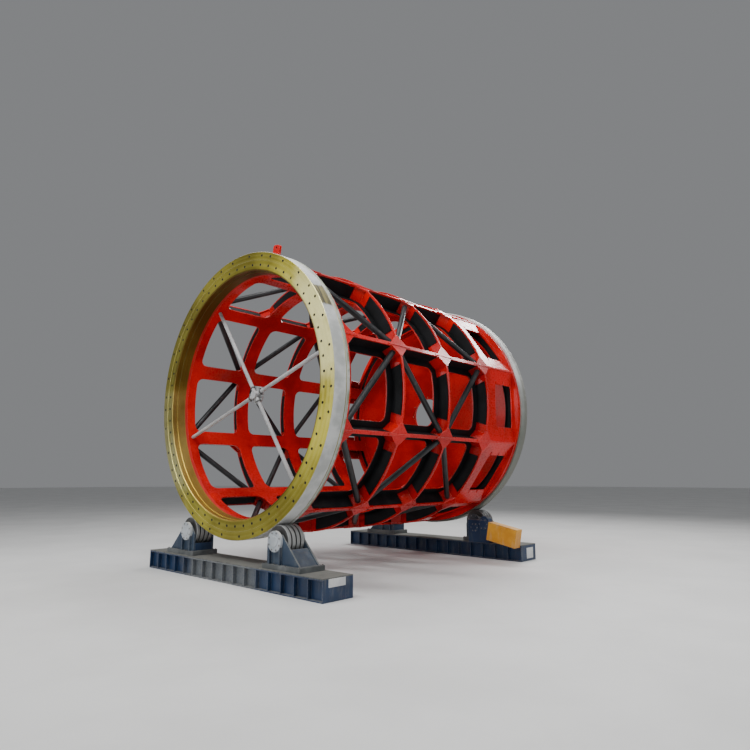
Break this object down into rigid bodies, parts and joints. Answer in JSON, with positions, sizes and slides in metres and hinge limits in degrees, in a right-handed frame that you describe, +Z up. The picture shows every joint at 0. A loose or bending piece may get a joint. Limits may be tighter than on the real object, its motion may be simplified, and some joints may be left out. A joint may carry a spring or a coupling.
{
  "type": "ore scrubber drum on roller stands",
  "caption": "Open cage drum of an ore scrubber with machined end rings, windows, diagonal tubes and rubber linings, lying on two roller stands.",
  "frame": {"origin": "on the floor under the middle of the front ring's width, at the centre of the front stand's middle crossbeam", "axes": "+Z up, +Y along the drum from the front ring to the rear ring, +X to the right seen from the front"},
  "size_m": [5.1998, 6.28, 6.1038],
  "materials": {
    "machined_brass_varnish": "machined steel under a yellow-brown rust varnish, satin",
    "primer_grey": "matt pale grey primer",
    "black_rubber": "satin black rubber lining",
    "brace_grey": "matt pale grey",
    "guard_yellow": "dusty yellow paint",
    "roller_steel": "worn grey",
    "cover_grey": "dusty pale grey paint",
    "stand_blue": "dusty navy blue paint",
    "drum_red": "glossy signal red paint"
  },
  "bodies": {
    "stand": {"drive_gear_case": "stand_blue", "drive_guard": "guard_yellow", "drive_motor": "stand_blue", "front_base_crossbeams": "stand_blue", "front_base_rails": "stand_blue", "front_bearing_covers": "cover_grey", "front_bracket_backs": "stand_blue", "front_bracket_sides": "stand_blue", "front_deck": "stand_blue", "rear_base_crossbeams": "stand_blue", "rear_base_rails": "stand_blue", "rear_bearing_covers": "cover_grey", "rear_bracket_backs": "stand_blue", "rear_bracket_sides": "stand_blue", "rear_deck": "stand_blue"},
    "front_left_roller": {"front_left_roller": "roller_steel"},
    "front_right_roller": {"front_right_roller": "roller_steel"},
    "rear_left_roller": {"rear_left_roller": "roller_steel"},
    "rear_right_roller": {"rear_right_roller": "roller_steel"},
    "drum": {"back_diagonals": "black_rubber", "back_rows": "drum_red", "front_diagonals": "black_rubber", "front_hoop_arcs": "drum_red", "front_hoop_nodes": "drum_red", "front_ring": "machined_brass_varnish", "front_rows": "drum_red", "hoop_linings": "black_rubber", "lifting_lugs": "drum_red", "middle_diagonals": "black_rubber", "middle_rows": "drum_red", "rear_end_plate": "drum_red", "rear_hoop_arcs": "drum_red", "rear_hoop_nodes": "drum_red", "rear_ring": "primer_grey", "rear_rows": "drum_red", "rear_seams": "drum_red", "rear_skin_back": "drum_red", "rear_skin_front": "drum_red", "rear_skin_posts": "drum_red", "row_linings": "black_rubber", "second_hoop_arcs": "drum_red", "second_hoop_nodes": "drum_red", "spider_arms": "brace_grey", "spider_hub": "brace_grey", "third_hoop_arcs": "drum_red", "third_hoop_nodes": "drum_red"}
  },
  "joints": [
    {"name": "drum_spin", "type": "hinge", "parent": "stand", "child": "drum", "pos_m": [0, 0, 3.28675], "axis": [0, 1, 0], "continuous": true},
    {"name": "front_left_roller_spin", "type": "hinge", "parent": "stand", "child": "front_left_roller", "pos_m": [-1.33818, 0, 0.77], "axis": [0, 1, 0], "continuous": true},
    {"name": "front_right_roller_spin", "type": "hinge", "parent": "stand", "child": "front_right_roller", "pos_m": [1.33818, 0, 0.77], "axis": [0, 1, 0], "continuous": true},
    {"name": "rear_left_roller_spin", "type": "hinge", "parent": "stand", "child": "rear_left_roller", "pos_m": [-1.33818, 5.66, 0.77], "axis": [0, 1, 0], "continuous": true},
    {"name": "rear_right_roller_spin", "type": "hinge", "parent": "stand", "child": "rear_right_roller", "pos_m": [1.33818, 5.66, 0.77], "axis": [0, 1, 0], "continuous": true}
  ],
  "couplings": [
    {"joint": "front_left_roller_spin", "follows": "drum_spin", "ratio": -10.4},
    {"joint": "front_right_roller_spin", "follows": "drum_spin", "ratio": -10.4},
    {"joint": "rear_left_roller_spin", "follows": "drum_spin", "ratio": -10.4},
    {"joint": "rear_right_roller_spin", "follows": "drum_spin", "ratio": -10.4}
  ]
}
